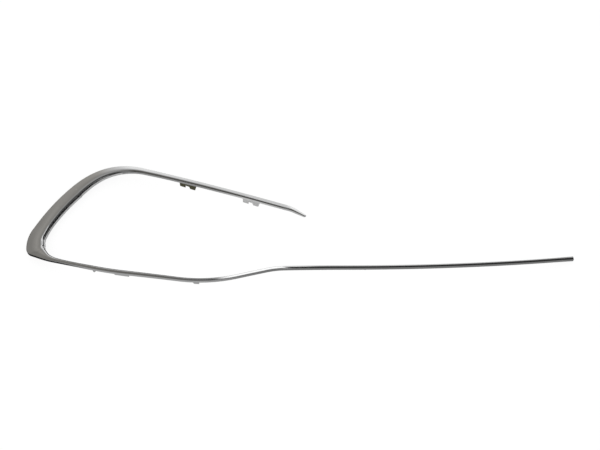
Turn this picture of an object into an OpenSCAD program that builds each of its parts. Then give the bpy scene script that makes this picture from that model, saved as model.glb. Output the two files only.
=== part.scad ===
// Bumper trim moulding: one chrome-plated strip that frames the side intake of a front
// bumper and runs on along the lower grille as a thin tail. It lies face up, with its
// fixing tabs and locating pins below it.

/* [Outline, measured from the outer corner] */
// Distance of the tail's end from the corner along X
tail_x = 884.5; // [840:0.5:940]
// Drop of the tail's end below the corner
tail_drop = 9.6; // [5:0.1:16]
// Distance of the tail's bend from the corner along X
bend_x = 684; // [650:1:720]
// Drop of the tail's bend below the corner
bend_drop = 43.8; // [40:0.1:49]
// Distance of the end of the rise from the corner along X
rise_x = 404; // [380:1:440]
// Drop of the end of the rise below the corner
rise_drop = 49.5; // [44:0.5:56]
// Distance of the sill's dip from the corner along X
dip_x = 299; // [270:1:330]
// Drop of the sill's dip below the corner
dip_drop = 73.2; // [66:0.2:78]
// Distance of the sill's belly from the corner along X
belly_x = 138; // [125:1:160]
// Drop of the sill's belly below the corner
belly_drop = 45.5; // [40:0.5:50]
// Distance of the heel from the corner along X
heel_x = 35.7; // [30:0.1:42]
// Drop of the heel below the corner
heel_drop = 15.9; // [12:0.1:19]
// Distance that the shoulder stands out beyond the corner along X
shoulder_out = 1; // [0:0.1:2]
// Height of the shoulder above the corner
shoulder_y = 29.4; // [28.6:0.2:36]
// Distance of the cheek from the corner along X
cheek_x = 38.2; // [34:0.2:44]
// Height of the cheek above the corner
cheek_y = 90.6; // [82:0.2:98]
// Distance of the top of the loop from the corner along X
apex_x = 120; // [114:0.2:130]
// Height of the top of the loop above the corner
apex_y = 164.8; // [150:0.2:172]
// Length of the upper arm from the top of the loop to its knee
arm_l = 326.4; // [260:0.2:380]
// Fall of the upper arm, in degrees
arm_a = 18.1; // [14:0.1:21]
// Length of the arm's point beyond the knee
point_l = 27.4; // [20:0.2:36]
// Fall of the arm's point, in degrees
point_a = 36.4; // [30:0.2:46]

/* [Blends: reach of each bend along its two legs] */
// Bend of the tail
bend_r = 165; // [120:1:185]
// End of the rise
rise_r = 14; // [8:0.5:24]
// Dip of the sill
dip_r = 48; // [30:1:54]
// Belly of the sill
belly_r = 30; // [20:1:45]
// Heel
heel_r = 12; // [6:0.5:16]
// Outer corner
corner_r = 9; // [5:0.5:11]
// Shoulder
shoulder_r = 17; // [10:0.5:17.5]
// Cheek
cheek_r = 40; // [24:0.5:41]
// Top of the loop
apex_r = 69; // [50:1:70]
// Knee before the arm's point
knee_r = 10; // [5:0.5:13]

/* [Widths across the face] */
// Tail at its end
tail_w = 6.2; // [5:0.1:7]
// Tail and the sill's rise
strip_w = 5.4; // [4.8:0.1:6.5]
// Sill below the loop, before the heel
sill_w = 6.2; // [5.5:0.1:8]
// Heel
heel_w = 9.8; // [8:0.1:12]
// Middle of the web between heel and corner
web_w = 21.2; // [19:0.1:24]
// Outer corner
corner_w = 30.7; // [29:0.1:34]
// Angle across the face where the outer corner's bend begins, in degrees
corner_a = 28; // [20:0.5:34]
// Straight outer side
side_w = 31.4; // [27:0.1:33]
// Shoulder
shoulder_w = 29.3; // [25:0.1:31]
// Blade between shoulder and cheek
blade_w = 26.9; // [23:0.1:29]
// Blade at the cheek
cheek_w = 25.4; // [22:0.1:28]
// Blade before the top of the loop
brow_w = 24; // [20:0.1:26]
// Blade at the top of the loop
apex_w = 15.8; // [13:0.1:19]
// Blade where it runs into the arm
root_w = 8; // [7.6:0.1:12]
// Upper arm
arm_w = 7.3; // [6.5:0.1:7.5]
// End of the arm's point
point_w = 1.2; // [0.8:0.1:2]

/* [Bumper surface] */
// Radius of the bumper's curve in plan
sweep_r = 1800; // [1400:10:2600]
// Distance of the curve's highest line from the corner along X
sweep_mid = 429.9; // [400:0.1:460]
// Lean of the face towards the top of the loop, in degrees
lean_a = 8.5; // [5:0.1:11]

/* [Section] */
// Depth of the sill, the tail and the arm
strip_d = 8.2; // [7:0.1:10]
// Depth of the blade
blade_d = 9; // [8:0.1:11]
// Depth of the arm at the end of its point
point_d = 5; // [4:0.1:8]
// Thickness of the side walls
wall_t = 1.8; // [1.4:0.1:2.2]
// Thickness of the face
face_t = 2.4; // [2:0.1:3]
// Width of the rolled outer edge
roll_w = 1.2; // [0.8:0.1:1.6]
// Drop of the rolled outer edge
roll_drop = 1.3; // [0.8:0.1:1.8]
// Place of the blade's crease, as a share of its width
crease_at = 0.33; // [0.25:0.01:0.42]
// Height of the blade's crease above its outer edge
crease_h = 0.9; // [0.4:0.1:1.6]
// Height of the face between crease and inner edge
crown_h = 0.35; // [0.2:0.05:0.6]
// Width of the lip along the blade's inner edge
lip_w = 2.2; // [1.6:0.1:3]
// Drop of the lip below the blade's face
lip_drop = 3.2; // [2:0.1:4]
// Width of the roll between the blade's face and its lip
lip_roll = 2.2; // [1.5:0.1:3]

/* [Fixing tabs] */
// Thickness of the tabs
tab_t = 1.6; // [1.2:0.1:1.8]
// Distances along the arm from the top of the loop to the middles of its tabs
arm_tab_at = [149.5, 259]; // each 120 to 290
// Length of an arm tab
arm_tab_l = 30; // [24:0.5:34]
// Depth of an arm tab below the flange
arm_tab_d = 16; // [14:0.5:22]
// Width of the notch at its roof
notch_w = 6.5; // [5:0.5:9]
// Height of the bridge above the notch
bridge_h = 8; // [4:0.5:9]
// Place of the notch, as a share of the length left beside it
notch_at = 0.4; // [0.3:0.01:0.6]
// Flare of the notch's inner side
notch_flare = 1.5; // [0:0.5:3]
// Slant of an arm tab's outer side
tab_slant = 4; // [2:0.5:6]
// Distance from the corner along X to the middle of the sill's long tab
long_tab_x = 159.8; // [150:0.2:180]
// Length of the long tab
long_tab_l = 25; // [22:0.5:34]
// Depth of the long tab below the flange, at its inner end
long_tab_d = 3; // [2.5:0.5:6]
// Further depth of the long tab at its outer end
long_tab_fall = 3; // [0:0.5:4]
// Distance from the corner along X to the middle of the sill's short tab
short_tab_x = 279.5; // [260:0.5:300]
// Length of the short tab
short_tab_l = 10; // [8:0.5:14]
// Depth of the short tab below the flange
short_tab_d = 6.5; // [5:0.5:9]
// Slant of the outer side of the sill's tabs
sill_tab_slant = 1.6; // [1:0.1:3]

/* [Locating pins] */
// Distance from the corner along X to the sill's pin
sill_pin_x = 113.5; // [100:0.5:128]
// Radius of the sill's pin
sill_pin_r = 2; // [1.6:0.1:2.2]
// Length of the sill's pin below the flange
sill_pin_l = 10; // [6:0.5:12]
// Distance from the corner along X to the tail's pin
tail_pin_x = 545; // [500:1:600]
// Radius of the tail's pin
tail_pin_r = 1.2; // [1:0.1:1.5]
// Length of the tail's pin below the flange
tail_pin_l = 5; // [4:0.5:8]
// Depth of the bosses that carry the pins, below the flange
boss_d = 0.6; // [0.4:0.1:1.5]
// Length of a boss along the strip, beyond the pin
boss_rim = 1.4; // [1:0.1:3]

/* [Ribs behind the blade] */
// Thickness of the ribs
rib_t = 1.4; // [1:0.1:2]
// Distance of the ribs' lower edge above the flange
rib_gap = 1; // [0.5:0.1:2]
// Places of the ribs, as shares of the way from the shoulder to the top of the loop
rib_at = [0.12, 0.36, 0.62, 0.86]; // each 0.05 to 0.95

/* [Hidden] */
$fn = 48;

// Outer edge: corner points in the order tail to tip, and the reach of each blend
knee = [apex_x + arm_l * cos(arm_a), apex_y - arm_l * sin(arm_a)];
tip = knee + point_l * [cos(point_a), -sin(point_a)];
path = [
    [tail_x, -tail_drop],
    [bend_x, -bend_drop],
    [rise_x, -rise_drop],
    [dip_x, -dip_drop],
    [belly_x, -belly_drop],
    [heel_x, -heel_drop],
    [0, 0],
    [-shoulder_out, shoulder_y],
    [cheek_x, cheek_y],
    [apex_x, apex_y],
    knee,
    tip
];
reach = [0, bend_r, rise_r, dip_r, belly_r, heel_r, corner_r, shoulder_r, cheek_r, apex_r, knee_r, 0];
corner_i = 6;
tip_i = len(path) - 1;
belly_i = 4;

// Width of the face against place along the path: a blend spans a quarter either side
// of its corner point's number
widths = [
    [0, tail_w],
    [0.7, strip_w],
    [belly_i - 0.7, strip_w],
    [belly_i - 0.25, sill_w],
    [belly_i + 0.25, sill_w],
    [belly_i + 0.4, sill_w * 0.9],
    [belly_i + 0.65, sill_w * 0.94],
    [belly_i + 0.8, mix(sill_w, heel_w, 0.4)],
    [belly_i + 1, heel_w],
    [corner_i - 0.75, web_w * 0.84],
    [corner_i - 0.5, web_w],
    [corner_i - 0.25, mix(web_w, corner_w, 0.5)],
    [corner_i, mix(web_w, corner_w, 0.94)],
    [corner_i + 0.7, side_w],
    [corner_i + 1, shoulder_w],
    [corner_i + 1.5, blade_w],
    [corner_i + 1.85, cheek_w],
    [corner_i + 2.2, brow_w],
    [corner_i + 2.75, brow_w],
    [corner_i + 3, apex_w],
    [corner_i + 3.25, root_w],
    [corner_i + 3.4, arm_w],
    [corner_i + 3.75, arm_w],
    [corner_i + 4.25, arm_w * 0.74],
    [tip_i, point_w]
];

leg_step = 14;
turn_step = 5;
bend_step = 10;
end_wall = 2;

function dir(i) = (path[i + 1] - path[i]) / norm(path[i + 1] - path[i]);
function raw_square(i) = atan2(-dir(i)[0], dir(i)[1]);
// Angle across the face on leg i, pointing to the inner side
function square(i) = raw_square(i) > 110 ? raw_square(i) - 360 : raw_square(i);
function angle_in(i) = i == 0 ? square(0) : i == corner_i ? corner_a : square(i - 1);
function angle_out(i) = i == tip_i ? square(i - 1) : square(i);
function leg_start(i) = path[i] + dir(i) * reach[i];
function leg_end(i) = path[i + 1] - dir(i) * reach[i + 1];
function blend_point(i, t) =
    (1 - t) * (1 - t) * (path[i] - dir(i - 1) * reach[i])
    + 2 * t * (1 - t) * path[i]
    + t * t * (path[i] + dir(i) * reach[i]);
function blend_count(i) =
    max(4, ceil(abs(square(i) - square(i - 1)) / turn_step), ceil(2 * reach[i] / bend_step));
function leg_turn(i) = abs(angle_in(i + 1) - angle_out(i));
function leg_count(i) =
    max(2, ceil(norm(leg_end(i) - leg_start(i)) / leg_step), ceil(leg_turn(i) / turn_step));

// Angle across the face against place along the path
angles = [for (i = [0 : tip_i]) each [[i - 0.25, angle_in(i)], [i + 0.25, angle_out(i)]]];
soften = 0.05;
function eased(u, table) = (
    lookup(u - 2 * soften, table) + 2 * lookup(u - soften, table) + 3 * lookup(u, table)
    + 2 * lookup(u + soften, table) + lookup(u + 2 * soften, table)
) / 9;

// Stations: [place along the path, outer point, angle across the face]
function station(u, p) = [u, p, eased(u, angles)];
function blend_stations(i) = let (n = blend_count(i)) [
    for (k = [0 : n])
        station(i - 0.25 + k / n / 2, blend_point(i, k / n))
];
function leg_stations(i) = let (n = leg_count(i), a = leg_start(i), b = leg_end(i)) [
    for (k = [1 : n - 1])
        station(i + 0.25 + k / n / 2, a + k / n * (b - a))
];
function tail_station(d) = station(0, path[0] + dir(0) * d);
stations = [
    for (d = [0, end_wall, 2 * end_wall]) tail_station(d),
    each leg_stations(0),
    for (i = [1 : tip_i - 1]) each concat(blend_stations(i), leg_stations(i)),
    station(tip_i, tip)
];

function surface_z(p) = sqrt(sweep_r * sweep_r - pow(p[0] - sweep_mid, 2)) - sweep_r - tan(lean_a) * p[1];
function mix(a, b, f) = a + (b - a) * f;
function clamp01(v) = max(0, min(1, v));
function face_w(s) = eased(s[0], widths);
function blade_share(w) = clamp01((w - arm_w) / (brow_w - arm_w));
// Share of the way along the arm's point, from the end of the knee's blend
function point_share(u) = clamp01((u - tip_i + 0.75) / 0.75);
function depth(s) = mix(mix(strip_d, blade_d, blade_share(face_w(s))), point_d, point_share(s[0]));
// Share of the full groove: none within the end wall and where the walls would meet
function groove_share(k, w) = k < 2 ? 0 : clamp01((w - 2 * wall_t) / 1.2);
notch_min = 0.2;

// Section at a station: [distance in from the outer edge, height against the surface]
function section(k) =
    let (
        w = face_w(stations[k]),
        f = blade_share(w),
        d = depth(stations[k]),
        fit = min(1, w / strip_w),
        rw = roll_w * fit,
        rd = roll_drop * fit,
        lw = mix(0.15, lip_w, f) * fit,
        lr = mix(roll_w, lip_roll, f) * fit,
        ld = mix(roll_drop, lip_drop, f) * fit,
        ch = mix(0, crease_h, f),
        g = groove_share(k, w),
        half = max(notch_min, w / 2 - wall_t),
        roof_out = -mix(d - notch_min, face_t, g),
        roof_in = -mix(d - notch_min, max(face_t, ld + wall_t), g)
    )
    [
        [0, -d],
        [0, -rd],
        [rw * 0.3, -rd * 0.35],
        [rw, 0],
        [rw + (w - rw) * mix(0.25, crease_at, f), ch + crown_h * mix(0.7, 0, f)],
        [rw + (w - rw) * mix(0.45, 0.52, f), ch + crown_h],
        [rw + (w - rw) * mix(0.6, 0.72, f), ch + crown_h * mix(0.8, 0.9, f)],
        [w - lw - lr, ch * 0.8],
        [w - lw - lr * 0.35, ch * 0.8 - (ld + ch * 0.8) * 0.35],
        [w - lw, -ld],
        [w, -ld - 0.3 * fit],
        [w, -d],
        [w / 2 + half, -d],
        [w / 2 + half, roof_in],
        [w / 2 - half, roof_out],
        [w / 2 - half, -d]
    ];
ring = 16;

function place(k, q) =
    let (s = stations[k], p = s[1] + q[0] * [cos(s[2]), sin(s[2])])
        [p[0], p[1], surface_z(p) + q[1]];
points = [for (k = [0 : len(stations) - 1]) for (q = section(k)) place(k, q)];

// Frame: the middle of the outline's box at the origin, the lowest edge on the floor
function lowest(i) = min([for (p = points) p[i]]);
function highest(i) = max([for (p = points) p[i]]);
shift = [-(lowest(0) + highest(0)) / 2, -(lowest(1) + highest(1)) / 2, -lowest(2)];

function cap(k, flip) = [
    for (t = [
        [0, 15, 14], [0, 14, 1], [1, 14, 2], [2, 14, 3], [3, 14, 4], [4, 14, 5], [5, 14, 13],
        [5, 13, 6], [6, 13, 7], [7, 13, 8], [8, 13, 9], [9, 13, 10], [10, 13, 12], [10, 12, 11]
    ])
        flip ? [k * ring + t[0], k * ring + t[2], k * ring + t[1]] : [for (v = t) k * ring + v]
];
faces = [
    each cap(0, true),
    for (k = [0 : len(stations) - 2]) for (j = [0 : ring - 1])
        let (a = k * ring + j, b = k * ring + (j + 1) % ring)
            each [[a, b + ring, b], [a, a + ring, b + ring]],
    each cap(len(stations) - 1, false)
];

module moulding() {
    polyhedron(points = points, faces = faces, convexity = 8);
}

// Outer edge of the sill and tail: its Y and its angle at a given X
sill_stations = [for (s = stations) if (s[0] <= corner_i - 1) s];
function sill_y(x) = lookup(-x, [for (s = sill_stations) [-s[1][0], s[1][1]]]);
function sill_angle(x) = lookup(-x, [for (s = sill_stations) [-s[1][0], s[2]]]);

// Puts a child on the flange: +X along the edge, -Y to the inner side, Z = 0 at the flange
module on_flange(p, across, q) {
    at = p + q * [cos(across), sin(across)];
    translate([at[0], at[1], surface_z(at) - strip_d])
        rotate(across + 90)
            children();
}

module on_sill(x, q) {
    on_flange([x, sill_y(x)], sill_angle(x), q)
        children();
}

module on_arm(d, q) {
    on_flange(path[tip_i - 2] + d * dir(tip_i - 2), square(tip_i - 2), q)
        children();
}

// A flat tab standing in the plane of its wall
module flat_tab(outline) {
    rotate([90, 0, 0])
        linear_extrude(tab_t, center = true)
            polygon(outline);
}

tab_root = 4;

module arm_tab() {
    half = arm_tab_l / 2;
    notch_x = -half + (arm_tab_l - notch_w) * notch_at;
    flat_tab([
        [-half, tab_root],
        [-half, -arm_tab_d],
        [notch_x, -arm_tab_d],
        [notch_x, -bridge_h],
        [notch_x + notch_w, -bridge_h],
        [notch_x + notch_w + notch_flare, -arm_tab_d],
        [half - tab_slant, -arm_tab_d],
        [half, tab_root]
    ]);
}

// A small tab of length l, with depth d1 at its inner end and d2 at its outer end
module sill_tab(l, d1, d2) {
    flat_tab([
        [-l / 2, tab_root],
        [-l / 2, -d1],
        [l / 2 - sill_tab_slant, -d2],
        [l / 2, 0],
        [l / 2, tab_root]
    ]);
}

// How far a boss reaches into the face above the groove, and stays inside the walls
boss_bite = 0.3;

// A pin below a boss that fills the strip's groove
module pin(r, l) {
    point = r / 3;
    boss = [2 * (r + boss_rim), strip_w - 2 * boss_bite, boss_d + strip_d - face_t + boss_bite];
    translate([-boss[0] / 2, -boss[1] / 2, -boss_d])
        cube(boss);
    rotate_extrude()
        polygon([[0, -l], [r - point, -l], [r, point - l], [r, 0], [0, 0]]);
}

rib_bite = 0.5;

// A rib across the blade's channel at a station, from wall to wall and up into the face
module rib(k) {
    s = stations[k];
    w = face_w(s);
    low = -depth(s) + rib_gap;
    corners = [
        [wall_t / 2, low],
        [w - wall_t / 2, low],
        [w - wall_t / 2, -lip_drop - wall_t + rib_bite],
        [wall_t / 2, -face_t + rib_bite]
    ];
    translate([s[1][0], s[1][1], surface_z(s[1])])
        rotate([90, 0, s[2]])
            linear_extrude(rib_t, center = true)
                polygon([for (c = corners) [c[0], place(k, c)[2] - surface_z(s[1])]]);
}
blade_first = min([for (k = [0 : len(stations) - 1]) if (stations[k][0] > corner_i + 1) k]);
blade_last = min([for (k = [0 : len(stations) - 1]) if (stations[k][0] > corner_i + 3) k]);

module chrome_trim() {
    color([0.8, 0.81, 0.83])
        translate(shift) {
            moulding();
            for (d = arm_tab_at)
                on_arm(d, arm_w - wall_t / 2)
                    arm_tab();
            on_sill(long_tab_x, wall_t / 2)
                sill_tab(long_tab_l, long_tab_d, long_tab_d + long_tab_fall);
            on_sill(short_tab_x, wall_t / 2)
                sill_tab(short_tab_l, short_tab_d, short_tab_d);
            on_sill(sill_pin_x, strip_w / 2)
                pin(sill_pin_r, sill_pin_l);
            on_sill(tail_pin_x, strip_w / 2)
                pin(tail_pin_r, tail_pin_l);
            for (a = rib_at)
                rib(round(blade_first + a * (blade_last - blade_first)));
        }
}

chrome_trim();
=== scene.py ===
import bpy
import bmesh
import math
from mathutils import Matrix, Vector


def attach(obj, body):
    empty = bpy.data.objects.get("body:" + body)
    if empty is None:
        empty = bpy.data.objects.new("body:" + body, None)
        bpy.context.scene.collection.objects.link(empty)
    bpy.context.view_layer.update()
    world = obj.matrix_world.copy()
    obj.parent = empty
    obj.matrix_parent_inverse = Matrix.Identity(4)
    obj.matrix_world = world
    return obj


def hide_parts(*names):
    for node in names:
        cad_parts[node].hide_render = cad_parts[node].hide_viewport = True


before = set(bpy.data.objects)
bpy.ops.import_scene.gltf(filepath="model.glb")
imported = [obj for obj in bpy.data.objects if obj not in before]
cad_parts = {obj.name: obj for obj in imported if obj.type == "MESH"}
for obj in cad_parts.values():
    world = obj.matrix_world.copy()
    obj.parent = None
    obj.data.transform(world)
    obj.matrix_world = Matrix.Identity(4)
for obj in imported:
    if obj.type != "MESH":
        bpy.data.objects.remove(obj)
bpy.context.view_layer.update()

# Sizes in millimetres from the outer corner, as in the part's source
TAIL = (884.5, -9.6)
BEND = (684.0, -43.8)
RISE = (404.0, -49.5)
DIP = (299.0, -73.2)
BELLY = (138.0, -45.5)
HEEL = (35.7, -15.9)
CORNER = (0.0, 0.0)
SHOULDER = (-1.0, 29.4)
CHEEK = (38.2, 90.6)
APEX = (120.0, 164.8)
ARM_L, ARM_A = 326.4, math.radians(18.1)
POINT_L, POINT_A = 27.4, math.radians(36.4)
REACH = [0, 165, 14, 48, 30, 12, 9, 17, 40, 69, 10, 0]
TAIL_W, STRIP_W, SILL_W, HEEL_W, WEB_W = 6.2, 5.4, 6.2, 9.8, 21.2
CORNER_W, SIDE_W, SHOULDER_W, BLADE_W, CHEEK_W, BROW_W = 30.7, 31.4, 29.3, 26.9, 25.4, 24.0
APEX_W, ROOT_W, ARM_W, POINT_W = 15.8, 8.0, 7.3, 1.2
SWEEP_R, SWEEP_MID, LEAN = 1800.0, 429.9, math.tan(math.radians(8.5))
STRIP_D, BLADE_D, POINT_D, WALL_T, FACE_T = 8.2, 9.0, 5.0, 1.8, 2.4
ROLL_W, ROLL_DROP, ROLL_TILT = 1.2, 1.3, 0.15
CREASE_AT, CREASE_H, CROWN_H = 0.33, 0.9, 0.35
LIP_W, LIP_DROP, LIP_ROLL = 1.4, 3.2, 2.1
# The rise between dip and tail has a flatter face and a wider outer roll: where it is along the
# path, half its length there, how much the face's outer side rises and what the roll gains
FLAT_AT, FLAT_REACH, FLAT_H, FLAT_ROLL = 2.33, 0.66, 0.35, 1.6
TAB_T, TAB_ROOT = 1.6, 4.0
ARM_TAB_AT = (149.5, 259.0)
ARM_TAB_L, ARM_TAB_D, BRIDGE_H, TAB_SLANT = 30.0, 16.0, 8.0, 4.0
NOTCH_W, NOTCH_AT, NOTCH_FLARE = 6.5, 0.4, 1.5
LONG_TAB = (159.8, 25.0, 3.0, 6.0)
SHORT_TAB = (279.5, 10.0, 6.5, 6.5)
SILL_TAB_SLANT = 1.6
SILL_PIN = (113.5, 2.0, 10.0)
TAIL_PIN = (545.0, 1.2, 5.0)
BOSS_D, BOSS_RIM, BOSS_BITE = 0.6, 1.4, 0.3
RIB_T, RIB_GAP, RIB_BITE = 1.4, 1.0, 0.5
RIB_AT = (0.12, 0.36, 0.62, 0.86)
SHIFT = Vector((-442.039, -40.750, 65.756))
CORNER_I, CORNER_A = 6, 28.0

knee = (APEX[0] + ARM_L * math.cos(ARM_A), APEX[1] - ARM_L * math.sin(ARM_A))
tip = (knee[0] + POINT_L * math.cos(POINT_A), knee[1] - POINT_L * math.sin(POINT_A))
PATH = [Vector(p) for p in (TAIL, BEND, RISE, DIP, BELLY, HEEL, CORNER, SHOULDER, CHEEK, APEX, knee, tip)]
TIP_I = len(PATH) - 1


def mix(a, b, f):
    return a + (b - a) * f


WIDTHS = [
    (0.0, TAIL_W), (0.7, STRIP_W), (3.3, STRIP_W), (3.75, SILL_W), (4.25, SILL_W), (4.4, SILL_W * 0.9),
    (4.65, SILL_W * 0.94), (4.8, mix(SILL_W, HEEL_W, 0.4)), (5.0, HEEL_W), (5.25, WEB_W * 0.84),
    (5.5, WEB_W), (5.75, mix(WEB_W, CORNER_W, 0.5)), (6.0, mix(WEB_W, CORNER_W, 0.94)),
    (6.7, SIDE_W), (7.0, SHOULDER_W), (7.5, BLADE_W), (7.85, CHEEK_W), (8.2, BROW_W), (8.75, BROW_W),
    (9.0, APEX_W), (9.25, ROOT_W), (9.4, ARM_W), (9.75, ARM_W), (10.25, ARM_W * 0.74), (11.0, POINT_W),
]


def lookup(x, table):
    if x <= table[0][0]:
        return table[0][1]
    for (x0, y0), (x1, y1) in zip(table, table[1:]):
        if x <= x1:
            return mix(y0, y1, (x - x0) / (x1 - x0))
    return table[-1][1]


def eased(x, table):
    weights = {-2: 1, -1: 2, 0: 3, 1: 2, 2: 1}
    return sum(w * lookup(x + 0.05 * k, table) for k, w in weights.items()) / 9


DIR = [(PATH[i + 1] - PATH[i]).normalized() for i in range(TIP_I)]
SQUARE = []
for d in DIR:
    across = math.degrees(math.atan2(-d.x, d.y))
    SQUARE.append(across - 360 if across > 110 else across)
ANGLE_IN = [SQUARE[0]] + SQUARE[:]
ANGLE_OUT = SQUARE[:] + [SQUARE[-1]]
ANGLE_IN[CORNER_I] = CORNER_A
ANGLES = []
for i in range(TIP_I + 1):
    ANGLES += [(i - 0.25, ANGLE_IN[i]), (i + 0.25, ANGLE_OUT[i])]


def surface_z(x, y):
    return math.sqrt(SWEEP_R ** 2 - (x - SWEEP_MID) ** 2) - SWEEP_R - LEAN * y


def stations(step):
    """[place along the path, outer point, angle across the face], tail to tip."""
    spots = []
    for i in range(TIP_I + 1):
        if i in (0, TIP_I):
            spots.append((float(i), PATH[i].copy()))
        else:
            r = REACH[i]
            p0, p2 = PATH[i] - DIR[i - 1] * r, PATH[i] + DIR[i] * r
            n = max(12, math.ceil(abs(SQUARE[i] - SQUARE[i - 1])), math.ceil(2 * r / step))
            for k in range(n + 1):
                t = k / n
                spots.append((i - 0.25 + t / 2, p0 * (1 - t) ** 2 + PATH[i] * 2 * t * (1 - t) + p2 * t * t))
        if i < TIP_I:
            q0, q1 = PATH[i] + DIR[i] * REACH[i], PATH[i + 1] - DIR[i] * REACH[i + 1]
            n = max(3, math.ceil((q1 - q0).length / step), math.ceil(abs(ANGLE_IN[i + 1] - ANGLE_OUT[i])))
            spots += [(i + 0.25 + k / n / 2, q0.lerp(q1, k / n)) for k in range(1, n)]
    return [(u, p, eased(u, ANGLES)) for u, p in spots]


def clamp01(v):
    return max(0.0, min(1.0, v))


def blade_share(w):
    return clamp01((w - ARM_W) / (BROW_W - ARM_W))


def depth(u, w):
    point_share = clamp01((u - TIP_I + 0.75) / 0.75)
    return mix(mix(STRIP_D, BLADE_D, blade_share(w)), POINT_D, point_share)


def rounded(points, steps):
    """A closed outline whose corner points (x, y, reach) are turned by small curves."""
    out = []
    n = len(points)
    for i, (x, y, r) in enumerate(points):
        p = Vector((x, y))
        a = Vector(points[i - 1][:2]) - p
        b = Vector(points[(i + 1) % n][:2]) - p
        la, lb = max(a.length, 1e-6), max(b.length, 1e-6)
        pa = p + a * (min(r, la * 0.48) / la)
        pb = p + b * (min(r, lb * 0.48) / lb)
        for k in range(steps + 1):
            t = k / steps
            out.append(pa * (1 - t) ** 2 + p * 2 * t * (1 - t) + pb * t * t)
    return out


def section(u, w, end):
    """Rounded section of the moulding: distance in from the outer edge, height."""
    f = blade_share(w)
    d = depth(u, w)
    fit = min(1.0, w / STRIP_W)
    flat = clamp01((FLAT_REACH - abs(u - FLAT_AT)) / 0.15)
    rw, rd = (ROLL_W + FLAT_ROLL * flat) * fit, (ROLL_DROP + FLAT_ROLL * flat) * fit
    lw = mix(0.15, LIP_W, f) * fit
    lr = mix(ROLL_W, LIP_ROLL, f) * fit
    ld = mix(ROLL_DROP, LIP_DROP, f) * fit
    ch = mix(0, CREASE_H, f)
    g = 0 if end else clamp01((w - 2 * WALL_T) / 1.2)
    half = max(0.2, w / 2 - WALL_T)
    roof_out = -mix(d - 0.2, FACE_T, g)
    roof_in = -mix(d - 0.2, max(FACE_T, ld + WALL_T), g)
    edge_h = mix(-ROLL_TILT, 0, f) * fit + FLAT_H * flat
    return rounded([
        (0, -d, 0.25),
        (0, edge_h - rd * 0.1, rd * 1.1),
        (rw * 0.8, edge_h, rw * 0.7),
        (rw + (w - rw) * mix(0.4, CREASE_AT, f), ch + CROWN_H * mix(0.8, 0, f), mix(0.8, 3.0, f)),
        (rw + (w - rw) * 0.62, ch + CROWN_H, mix(0.8, 7.0, f)),
        (w - lw - lr, ch * 0.8, mix(0.9, 2.6, f) * fit),
        (w - lw, -ld, mix(0.4, 0.9, f) * fit),
        (w, -ld - 0.3 * fit, 0.45 * fit),
        (w, -d, 0.25),
        (w / 2 + half, -d, 0.1),
        (w / 2 + half, roof_in, 0.3),
        (w / 2 - half, roof_out, 0.3),
        (w / 2 - half, -d, 0.1),
    ], 4)


STATIONS = stations(2.0)
# Faces of a ring, counted from the outer flange, that are the blade's inner lip and its wall; they get a
# flat grey, a painted reflection on the chrome
LIP_FACES = range(34, 41)


def inward(s, q):
    """The point q inwards from a station's outer point."""
    a = math.radians(s[2])
    return s[1] + q * Vector((math.cos(a), math.sin(a)))


def on_surface(s, q, h):
    p = inward(s, q)
    return Vector((p.x, p.y, surface_z(p.x, p.y) + h))


def row(p):
    return (Vector(p) + SHIFT) / 1000


def new_object(name, verts, faces, material):
    mesh = bpy.data.meshes.new(name)
    mesh.from_pydata([tuple(v) for v in verts], [], faces)
    mesh.update()
    obj = bpy.data.objects.new(name, mesh)
    bpy.context.scene.collection.objects.link(obj)
    mesh.materials.append(material)
    return obj


def finish_mesh(obj, bevel_mm=0.0, degrees=32):
    bm = bmesh.new()
    bm.from_mesh(obj.data)
    bmesh.ops.recalc_face_normals(bm, faces=bm.faces)
    if bevel_mm:
        sharp = [e for e in bm.edges if len(e.link_faces) == 2 and e.calc_face_angle(0) > 0.5]
        offset = bevel_mm / 1000
        bmesh.ops.bevel(bm, geom=sharp, offset=offset, segments=2, affect="EDGES", clamp_overlap=True)
    for e in bm.edges:
        e.smooth = len(e.link_faces) == 2 and e.calc_face_angle(0) < math.radians(degrees)
    for f in bm.faces:
        f.smooth = True
    bm.to_mesh(obj.data)
    bm.free()


def moulded(obj):
    """One more piece of the single moulding."""
    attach(obj, "root")
    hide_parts("chrome_trim")


# ---- node helpers
def node_material(name):
    m = bpy.data.materials.new(name)
    m.use_nodes = True
    nt = m.node_tree
    return m, nt, nt.nodes["Principled BSDF"]


def add(nt, kind, **values):
    n = nt.nodes.new(kind)
    for k, v in values.items():
        if k in n.inputs:
            n.inputs[k].default_value = v
        else:
            setattr(n, k, v)
    return n


def span(nt, source, low, high, to_low, to_high):
    r = add(nt, "ShaderNodeMapRange")
    for name, value in (("From Min", low), ("From Max", high), ("To Min", to_low), ("To Max", to_high)):
        r.inputs[name].default_value = value
    nt.links.new(source, r.inputs["Value"])
    return r.outputs["Result"]


def product(nt, a, b):
    """a times b, where b is a socket or a number."""
    m = add(nt, "ShaderNodeMath", operation="MULTIPLY")
    nt.links.new(a, m.inputs[0])
    if isinstance(b, float):
        m.inputs[1].default_value = b
    else:
        nt.links.new(b, m.inputs[1])
    return m.outputs["Value"]


def scaled_sum(nt, a, scale, b):
    m = add(nt, "ShaderNodeMath", operation="MULTIPLY_ADD")
    m.inputs[1].default_value = scale
    nt.links.new(a, m.inputs[0])
    nt.links.new(b, m.inputs[2])
    return m.outputs["Value"]


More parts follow.
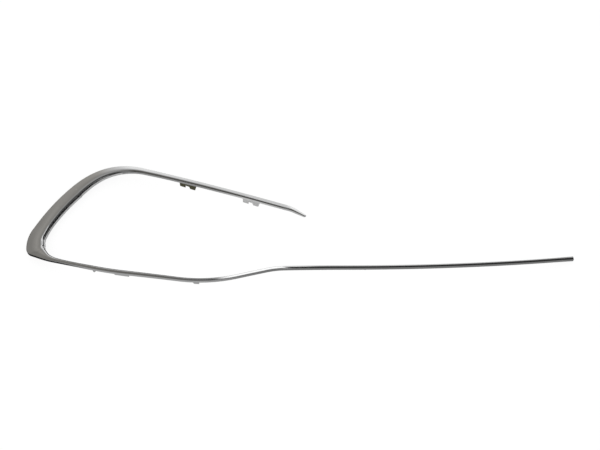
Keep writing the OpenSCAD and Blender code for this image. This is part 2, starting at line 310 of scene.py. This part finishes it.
# ---- materials
def plated(name, colour, rough, metal=1.0, blotch=0.06, sheen=0.5):
    """Plated surface, or a flat non-metal colour, with faint haze in its sheen and tone."""
    m, nt, bsdf = node_material(name)
    bsdf.inputs["Metallic"].default_value = metal
    bsdf.inputs["Specular IOR Level"].default_value = sheen
    coord = add(nt, "ShaderNodeTexCoord")
    haze = add(nt, "ShaderNodeTexNoise", Scale=38.0, Detail=5.0, Roughness=0.6)
    fine = add(nt, "ShaderNodeTexNoise", Scale=900.0, Detail=3.0)
    nt.links.new(coord.outputs["Object"], haze.inputs["Vector"])
    nt.links.new(coord.outputs["Object"], fine.inputs["Vector"])
    nt.links.new(span(nt, haze.outputs["Fac"], 0.35, 0.75, rough, rough + 0.05), bsdf.inputs["Roughness"])
    tone = add(nt, "ShaderNodeMix", data_type="RGBA")
    tone.inputs["A"].default_value = (*colour, 1)
    tone.inputs["B"].default_value = (*[c * (1 - blotch) for c in colour], 1)
    nt.links.new(span(nt, haze.outputs["Fac"], 0.4, 0.7, 0.0, 1.0), tone.inputs["Factor"])
    nt.links.new(tone.outputs["Result"], bsdf.inputs["Base Color"])
    bump = add(nt, "ShaderNodeBump", Strength=0.02, Distance=0.0002)
    nt.links.new(fine.outputs["Fac"], bump.inputs["Height"])
    nt.links.new(bump.outputs["Normal"], bsdf.inputs["Normal"])
    return m


CHROME = plated("chrome_plate", (0.86, 0.862, 0.862), 0.05)
# Dark olive for the outer arm tab, the same piece as the light grey inner one: a painted reflection
PAINTED_DARK_TAB = plated("tab_painted_dark", (0.075, 0.071, 0.034), 0.45, metal=0.0, blotch=0.3, sheen=0.15)
# Flat grey: on the blade's lip a painted reflection in place of chrome, on the inner arm tab its light grey
GREY_TAB_AND_PAINTED_LIP = plated("grey_tab_and_painted_lip", (0.48, 0.48, 0.48), 0.4, metal=0.0, blotch=0.1)

# ---- the moulding: chrome, with the blade's lip and its wall in flat grey, a painted reflection
rings = []
for s in STATIONS:
    at_end = (s[1] - STATIONS[0][1]).length < 2.0
    rings.append([row(on_surface(s, q[0], q[1])) for q in section(s[0], eased(s[0], WIDTHS), at_end)])
n = len(rings[0])
faces = [
    (k * n + j, k * n + (j + 1) % n, (k + 1) * n + (j + 1) % n, (k + 1) * n + j)
    for k in range(len(rings) - 1) for j in range(n)
]
faces += [tuple(range(n)), tuple(range((len(rings) - 1) * n, len(rings) * n))]
trim = new_object("trim_moulding", [p for r in rings for p in r], faces, CHROME)
trim.data.materials.append(GREY_TAB_AND_PAINTED_LIP)
# The blade's lip faces take the flat grey: a painted reflection on the chrome
for face in trim.data.polygons:
    k, j = divmod(face.index, n)
    on_blade = k < len(rings) - 1 and blade_share(eased(STATIONS[k][0], WIDTHS)) > 0.3
    face.material_index = int(on_blade and j in LIP_FACES)
finish_mesh(trim)
moulded(trim)


# ---- tabs and pins, which stand on the flange
def flange_matrix(p, across, q):
    """Frame on the flange: +X along the edge, -Y to the inner side, Z = 0 at the flange."""
    at = inward((0, Vector(p), across), q)
    turn = Matrix.Rotation(math.radians(across + 90), 4, "Z")
    return Matrix.Translation((at.x, at.y, surface_z(at.x, at.y) - STRIP_D)) @ turn


def sill_matrix(x, q):
    sill = sorted((s[1].x, s[1].y, s[2]) for s in STATIONS if s[0] <= CORNER_I - 1)
    y = lookup(x, [(a, b) for a, b, c in sill])
    across = lookup(x, [(a, c) for a, b, c in sill])
    return flange_matrix((x, y), across, q)


def arm_matrix(d):
    i = TIP_I - 2
    return flange_matrix(PATH[i] + d * DIR[i], SQUARE[i], ARM_W - WALL_T / 2)


def flat_tab(name, outline, matrix, material, thick=TAB_T):
    """A flat piece whose outline stands upright along the local X."""
    verts = [row(matrix @ Vector((x, y, z))) for y in (-thick / 2, thick / 2) for x, z in outline]
    n = len(outline)
    sides = [(k, (k + 1) % n, n + (k + 1) % n, n + k) for k in range(n)]
    obj = new_object(name, verts, [tuple(range(n)), tuple(range(2 * n - 1, n - 1, -1))] + sides, material)
    finish_mesh(obj, bevel_mm=0.25)
    moulded(obj)


def arm_tab(name, d, material):
    half = ARM_TAB_L / 2
    notch = -half + (ARM_TAB_L - NOTCH_W) * NOTCH_AT
    flat_tab(name, [
        (-half, TAB_ROOT), (-half, -ARM_TAB_D), (notch, -ARM_TAB_D), (notch, -BRIDGE_H),
        (notch + NOTCH_W, -BRIDGE_H), (notch + NOTCH_W + NOTCH_FLARE, -ARM_TAB_D),
        (half - TAB_SLANT, -ARM_TAB_D), (half, TAB_ROOT),
    ], arm_matrix(d), material)


def sill_tab(name, x, length, d1, d2, material):
    flat_tab(name, [
        (-length / 2, TAB_ROOT), (-length / 2, -d1), (length / 2 - SILL_TAB_SLANT, -d2),
        (length / 2, 0), (length / 2, TAB_ROOT),
    ], sill_matrix(x, WALL_T / 2), material)


def pin(name, x, r, length, material, sides=40):
    """A pin with a boss at its root that fills the groove."""
    matrix = sill_matrix(x, STRIP_W / 2)
    taper, seat = r / 3, -BOSS_D / 2
    profile = [(r - taper, -length), (r - 0.1, -length + taper), (r, -length + taper + 0.1), (r, seat)]
    verts, faces = [], []
    for radius, z in profile:
        for k in range(sides):
            a = math.tau * k / sides
            verts.append(row(matrix @ Vector((radius * math.cos(a), radius * math.sin(a), z))))
    for low in range(0, (len(profile) - 1) * sides, sides):
        high = low + sides
        for k in range(sides):
            after = (k + 1) % sides
            faces.append((low + k, low + after, high + after, high + k))
    faces += [tuple(range(sides - 1, -1, -1)), tuple(range(len(verts) - sides, len(verts)))]
    obj = new_object(name, verts, faces, material)
    finish_mesh(obj)
    moulded(obj)
    half = r + BOSS_RIM
    top = STRIP_D - FACE_T + BOSS_BITE
    flat_tab(name + "_boss", [(-half, top), (-half, -BOSS_D), (half, -BOSS_D), (half, top)],
             matrix, material, thick=STRIP_W - 2 * BOSS_BITE)


# The outer arm tab is painted dark, a painted reflection; the inner one is light grey
arm_tab("tab_arm_outer", ARM_TAB_AT[0], PAINTED_DARK_TAB)
arm_tab("tab_arm_inner", ARM_TAB_AT[1], GREY_TAB_AND_PAINTED_LIP)
sill_tab("tab_sill_long", *LONG_TAB, CHROME)
sill_tab("tab_sill_short", *SHORT_TAB, CHROME)
pin("pin_sill", *SILL_PIN, CHROME)
pin("pin_tail", *TAIL_PIN, CHROME)

# ---- ribs across the blade's channel
first = next(k for k, s in enumerate(STATIONS) if s[0] > CORNER_I + 1)
last = next(k for k, s in enumerate(STATIONS) if s[0] > CORNER_I + 3)
for number, share in enumerate(RIB_AT, 1):
    s = STATIONS[round(mix(first, last, share))]
    w = eased(s[0], WIDTHS)
    low = -depth(s[0], w) + RIB_GAP
    side = Vector((-math.sin(math.radians(s[2])), math.cos(math.radians(s[2])), 0)) * RIB_T / 2
    corners = [(WALL_T / 2, low), (w - WALL_T / 2, low), (w - WALL_T / 2, -LIP_DROP - WALL_T + RIB_BITE),
               (WALL_T / 2, -FACE_T + RIB_BITE)]
    verts = [row(on_surface(s, q, h) + side * k) for k in (-1, 1) for q, h in corners]
    rib = new_object("rib_%d" % number, verts, [
        (0, 1, 2, 3), (7, 6, 5, 4), (0, 4, 5, 1), (1, 5, 6, 2), (2, 6, 7, 3), (3, 7, 4, 0)], CHROME)
    finish_mesh(rib)
    moulded(rib)

# ---- camera
TARGET = row((442.4, 34.7, -18.265))
ELEVATION = math.radians(68)
DISTANCE = 2.267
cam_data = bpy.data.cameras.new("camera")
cam_data.lens = 85
cam_data.sensor_width = 36
cam_data.clip_start = 0.05
camera = bpy.data.objects.new("camera", cam_data)
bpy.context.scene.collection.objects.link(camera)
camera.location = TARGET + Vector((0, -math.cos(ELEVATION), math.sin(ELEVATION))) * DISTANCE
camera.rotation_euler = (TARGET - camera.location).to_track_quat("-Z", "Y").to_euler()
bpy.context.scene.camera = camera

# ---- floor: white paper with a faint shadow. For the chrome it glows with painted tones instead: a painted
# reflection of dark grey paper outside the loop, a painted shadow nearly black within it and a painted pool
# of light below the arm.
PAINTED_PAPER_LEFT, PAINTED_PAPER_RIGHT, PAINTED_SHADOW_IN_LOOP, PAINTED_LIGHT_BELOW_ARM = 0.38, 0.20, 0.05, 0.30
PAPER_SHOWN = 0.85
floor_mat, nt, bsdf = node_material("floor_paper")
bsdf.inputs["Base Color"].default_value = (0.93, 0.93, 0.93, 1)
bsdf.inputs["Roughness"].default_value = 0.9
bsdf.inputs["Specular IOR Level"].default_value = 0.0
coord = add(nt, "ShaderNodeTexCoord")
place = add(nt, "ShaderNodeSeparateXYZ")
nt.links.new(coord.outputs["Object"], place.inputs["Vector"])
# Painted pool of light on the floor below the arm, seen by the chrome alone
past_arm = scaled_sum(nt, place.outputs["X"], math.tan(ARM_A), place.outputs["Y"])
near_arm = span(nt, past_arm, -0.02, -0.008, 0.0, 1.0)
painted_light_mask = product(nt, near_arm, span(nt, place.outputs["Y"], -0.03, -0.015, 0.0, 1.0))
# Painted shadow: the floor is nearly black within the loop, for the chrome alone
left_side = span(nt, place.outputs["X"], -0.15, -0.10, 1.0, 0.0)
painted_shadow_mask = product(nt, left_side, span(nt, place.outputs["Y"], -0.085, -0.07, 0.0, 1.0))
# Painted dark grey for the rest of the floor as the chrome sees it, darker towards the right
painted_paper_tone = span(nt, place.outputs["X"], -0.15, -0.05, PAINTED_PAPER_LEFT, PAINTED_PAPER_RIGHT)
painted_shade_tone = product(nt, painted_paper_tone, span(nt, painted_shadow_mask, 0.0, 1.0, 1.0, PAINTED_SHADOW_IN_LOOP))
# The floor glows with these painted tones for glossy rays: a painted reflection in place of the white paper
painted_reflected_floor = add(nt, "ShaderNodeEmission", Color=(1, 1, 1, 1))
nt.links.new(scaled_sum(nt, painted_light_mask, PAINTED_LIGHT_BELOW_ARM, painted_shade_tone), painted_reflected_floor.inputs["Strength"])
light_path = add(nt, "ShaderNodeLightPath")
choose = add(nt, "ShaderNodeMixShader")
nt.links.new(light_path.outputs["Is Glossy Ray"], choose.inputs[0])
nt.links.new(bsdf.outputs["BSDF"], choose.inputs[1])
nt.links.new(painted_reflected_floor.outputs["Emission"], choose.inputs[2])
white = add(nt, "ShaderNodeEmission", Color=(1, 1, 1, 1), Strength=1.04)
shown = add(nt, "ShaderNodeMixShader")
nt.links.new(product(nt, light_path.outputs["Is Camera Ray"], PAPER_SHOWN), shown.inputs[0])
nt.links.new(choose.outputs["Shader"], shown.inputs[1])
nt.links.new(white.outputs["Emission"], shown.inputs[2])
nt.links.new(shown.outputs["Shader"], nt.nodes["Material Output"].inputs["Surface"])
floor = new_object("floor", [(-6, -6, 0), (6, -6, 0), (6, 6, 0), (-6, 6, 0)], [(0, 1, 2, 3)], floor_mat)

# ---- studio surroundings: even white light, and a graded room that only the chrome reflects
world = bpy.data.worlds.new("studio")
bpy.context.scene.world = world
world.use_nodes = True
nt = world.node_tree
nt.nodes.clear()
out = add(nt, "ShaderNodeOutputWorld")
coord = add(nt, "ShaderNodeTexCoord")
toward = add(nt, "ShaderNodeSeparateXYZ")
nt.links.new(coord.outputs["Generated"], toward.inputs["Vector"])


def warm(v):
    return (v * 1.02, v * 0.985, v * 0.925)


def plain(v):
    return (v, v, v)


def ramp(source, tint, *stops):
    """Tones against a direction's part in -1..1, tinted where the part is below -0.4."""
    r = add(nt, "ShaderNodeValToRGB")
    marks = r.color_ramp.elements
    while len(marks) < len(stops):
        marks.new(0.5)
    for mark, (place, tone) in zip(marks, stops):
        mark.position = (place + 1) / 2
        mark.color = (*(tint(tone) if place < -0.4 else plain(tone)), 1)
    nt.links.new(span(nt, source, -1.0, 1.0, 0.0, 1.0), r.inputs["Fac"])
    return r.outputs["Color"]


def combine(kind, a, b, factor=None):
    m = add(nt, "ShaderNodeMix", data_type="RGBA", blend_type=kind)
    m.inputs["Factor"].default_value = 1.0
    if factor:
        nt.links.new(factor, m.inputs["Factor"])
    nt.links.new(a, m.inputs["A"])
    nt.links.new(b, m.inputs["B"])
    return m.outputs["Result"]


def turning(low, high, start, end):
    """One strip of the room turns into the next as the direction's Y rises."""
    return combine("MIX", low, high, span(nt, toward.outputs["Y"], start, end, 0.0, 1.0))


# The room in four strips, from behind the camera to overhead, each graded from left to right
behind = ramp(toward.outputs["X"], warm, (-1.0, 0.20), (-0.80, 0.20), (-0.68, 0.11), (-0.48, 0.07),
              (-0.38, 0.18), (-0.22, 0.19), (-0.15, 0.04), (0.08, 0.04), (0.35, 0.15), (0.68, 0.02))
band = ramp(toward.outputs["X"], warm, (-1.0, 0.20), (-0.60, 0.19), (-0.45, 0.14), (-0.20, 0.12),
            (-0.08, 0.025))
wall = ramp(toward.outputs["X"], warm, (-1.0, 0.21), (-0.65, 0.22), (-0.56, 0.30), (-0.44, 0.23),
            (-0.36, 0.33), (-0.30, 0.45), (0.04, 0.45), (0.10, 0.80), (0.30, 0.75), (0.50, 0.38),
            (0.62, 0.38), (0.80, 1.0))
ceiling = ramp(toward.outputs["X"], warm, (-1.0, 0.30), (-0.55, 0.30), (-0.45, 0.42), (-0.38, 0.65),
               (-0.30, 0.95), (-0.20, 0.78), (0.04, 0.64), (0.10, 1.0), (0.35, 0.6), (1.0, 0.5))
# The far right is dark near the horizon
right = span(nt, toward.outputs["X"], 0.2, 0.4, 0.0, 0.85)
low_right = product(nt, right, span(nt, toward.outputs["Z"], 0.25, 0.5, 1.0, 0.0))
behind = combine("MULTIPLY", behind, span(nt, low_right, 0.0, 1.0, 1.0, 0.0))
room = turning(behind, band, 0.08, 0.16)
room = turning(room, wall, 0.39, 0.47)
room = turning(room, ceiling, 0.68, 0.82)
# A lamp ahead, which shines on the rise between dip and tail
lamp_x = ramp(toward.outputs["X"], plain, (-0.18, 0.0), (-0.13, 0.8), (0.03, 0.8), (0.06, 0.0))
lamp_y = ramp(toward.outputs["Y"], plain, (0.32, 0.0), (0.38, 1.0), (0.60, 1.0), (0.64, 0.0))
room = combine("ADD", room, product(nt, lamp_x, lamp_y))
glossy = add(nt, "ShaderNodeBackground", Strength=1.0)
nt.links.new(room, glossy.inputs["Color"])
even = add(nt, "ShaderNodeBackground", Color=(1, 1, 1, 1), Strength=1.0)
light_path = add(nt, "ShaderNodeLightPath")
pick = add(nt, "ShaderNodeMixShader")
nt.links.new(light_path.outputs["Is Glossy Ray"], pick.inputs[0])
nt.links.new(even.outputs["Background"], pick.inputs[1])
nt.links.new(glossy.outputs["Background"], pick.inputs[2])
nt.links.new(pick.outputs["Shader"], out.inputs["Surface"])

bpy.context.scene.view_settings.view_transform = "Standard"
